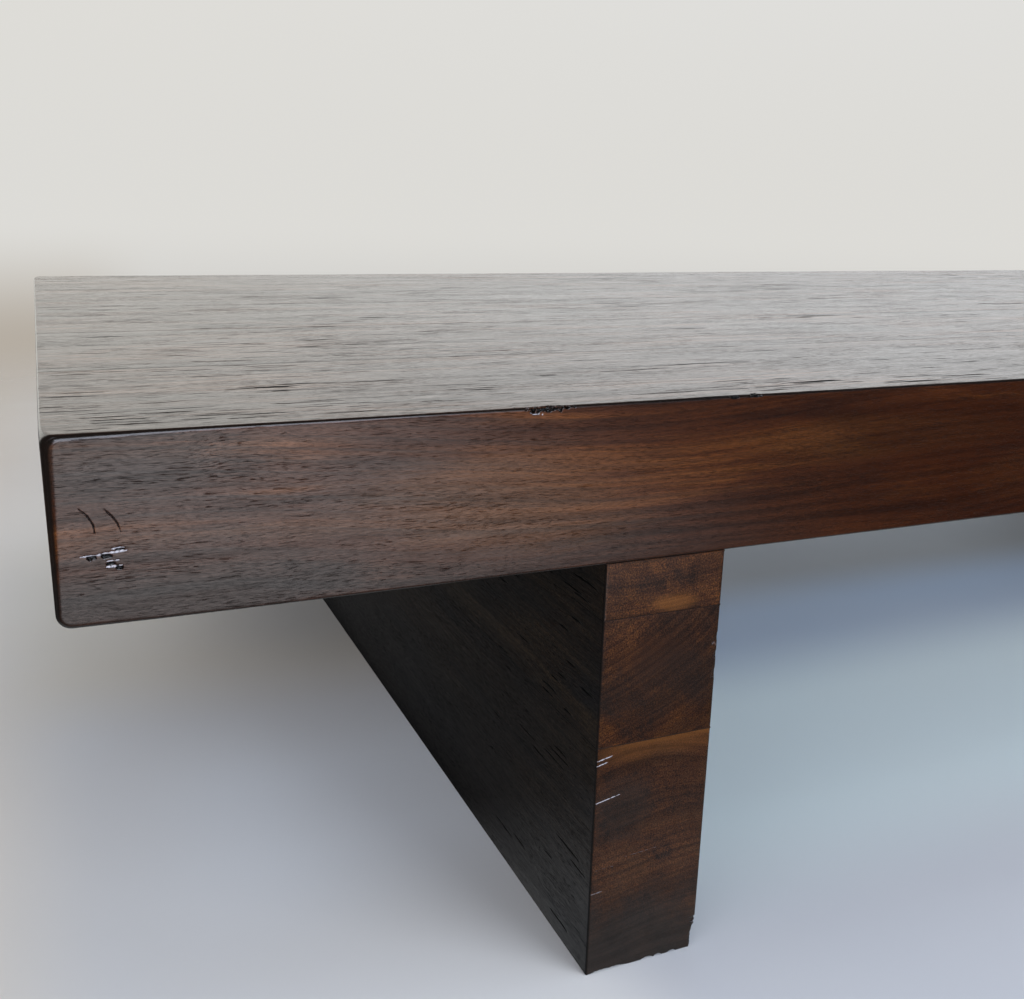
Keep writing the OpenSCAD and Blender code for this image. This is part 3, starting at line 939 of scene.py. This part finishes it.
def mirrored_room(n, x, y, z):
    """What the wood mirrors: a bright wall behind, a window in front, and dark for the rest."""
    dark = rgb(0.015, 0.015, 0.015)
    wall = n.mix(n.step(x, -0.1, 0.75), rgb(1.01, 0.99, 0.925), rgb(1.13, 1.15, 1.16))
    behind = n.times(n.step(z, 0.75, 0.30), n.step(y, 0.20, 0.60))
    mirrored = n.mix(n.step(x, -0.35, -0.85), n.mix(behind, dark, wall), dark)
    window = n.times(n.band(z, 0.05, 0.14, 0.60, 0.72), n.step(y, -0.50, -0.70))
    window = n.times(window, n.band(x, -0.45, -0.25, 0.25, 0.42))
    return n.mix(window, mirrored, rgb(6.4, 6.9, 8.0))


def seen_wall(n, x, y, z):
    """What the camera sees behind the bench: an off-white wall, darker low down, with a brown painted shadow
    of the seat's left end low down beside it.
    """
    # A painted shadow of the seat's left end on the wall.
    beside = n.times(n.band(x, -0.30, -0.15, 0.02, 0.10), n.step(y, 0.5, 0.8))
    low = n.mix(beside, rgb(0.60, 0.59, 0.57), rgb(0.46, 0.415, 0.36))
    wall = n.mix(n.step(z, -0.13, -0.03), low, rgb(0.72, 0.71, 0.68))
    high = n.mix(n.step(x, -0.1, 0.75), rgb(0.745, 0.73, 0.69), rgb(0.765, 0.765, 0.755))
    return n.mix(n.step(z, 0.0, 0.35), wall, high)


def make_world():
    """A room of three soft gradients, one each for light, reflections and the camera."""
    world = bpy.data.worlds.new("room")
    bpy.context.scene.world = world
    n = Nodes(world)
    x, y, z = n.split(n.add("ShaderNodeTexCoord").outputs["Generated"])
    rays = n.add("ShaderNodeLightPath").outputs
    colour = n.mix(rays["Is Glossy Ray"], lit_room(n, x, z), mirrored_room(n, x, y, z))
    colour = n.mix(rays["Is Camera Ray"], colour, seen_wall(n, x, y, z))
    n.end("ShaderNodeOutputWorld", n.add("ShaderNodeBackground", {"Color": colour, "Strength": 1.0}))


def area_light(name, at, aim, size, power, colour):
    """A rectangle of light that the camera and the wood's reflections don't show."""
    data = bpy.data.lights.new(name, "AREA")
    data.shape = "RECTANGLE"
    data.size, data.size_y = size
    data.energy = power
    data.color = colour
    light = bpy.data.objects.new(name, data)
    light.location = at
    light.rotation_euler = (Vector(aim) - Vector(at)).to_track_quat("-Z", "Y").to_euler()
    light.visible_glossy = False
    light.visible_camera = False
    bpy.context.scene.collection.objects.link(light)


def make_lights():
    area_light("window", (1.3, -3.4, 1.7), (-0.3, -0.2, 0.1), (2.6, 1.6), 80.0, (0.95, 0.97, 1.0))
    area_light("side_fill", (-2.8, -1.6, 0.8), (-0.6, 0.1, 0.0), (1.6, 0.8), 13.0, (0.98, 0.98, 1.0))
    area_light("low_window", (1.4, 2.4, 0.9), (-0.1, -0.2, 0.0), (2.2, 0.8), 34.0, (0.74, 0.89, 1.0))
    area_light("ceiling", (0.4, -0.6, 3.4), (0.0, -0.2, 0.0), (3.0, 2.4), 32.0, (1.0, 0.99, 0.97))


def set_view():
    scene = bpy.context.scene
    scene.view_settings.view_transform = "Standard"
    scene.view_settings.look = "None"


make_camera()
make_world()
make_lights()
make_floor()
set_view()
seat_boards()
leg_boards()
dress_hardware()
bpy.context.view_layer.update()
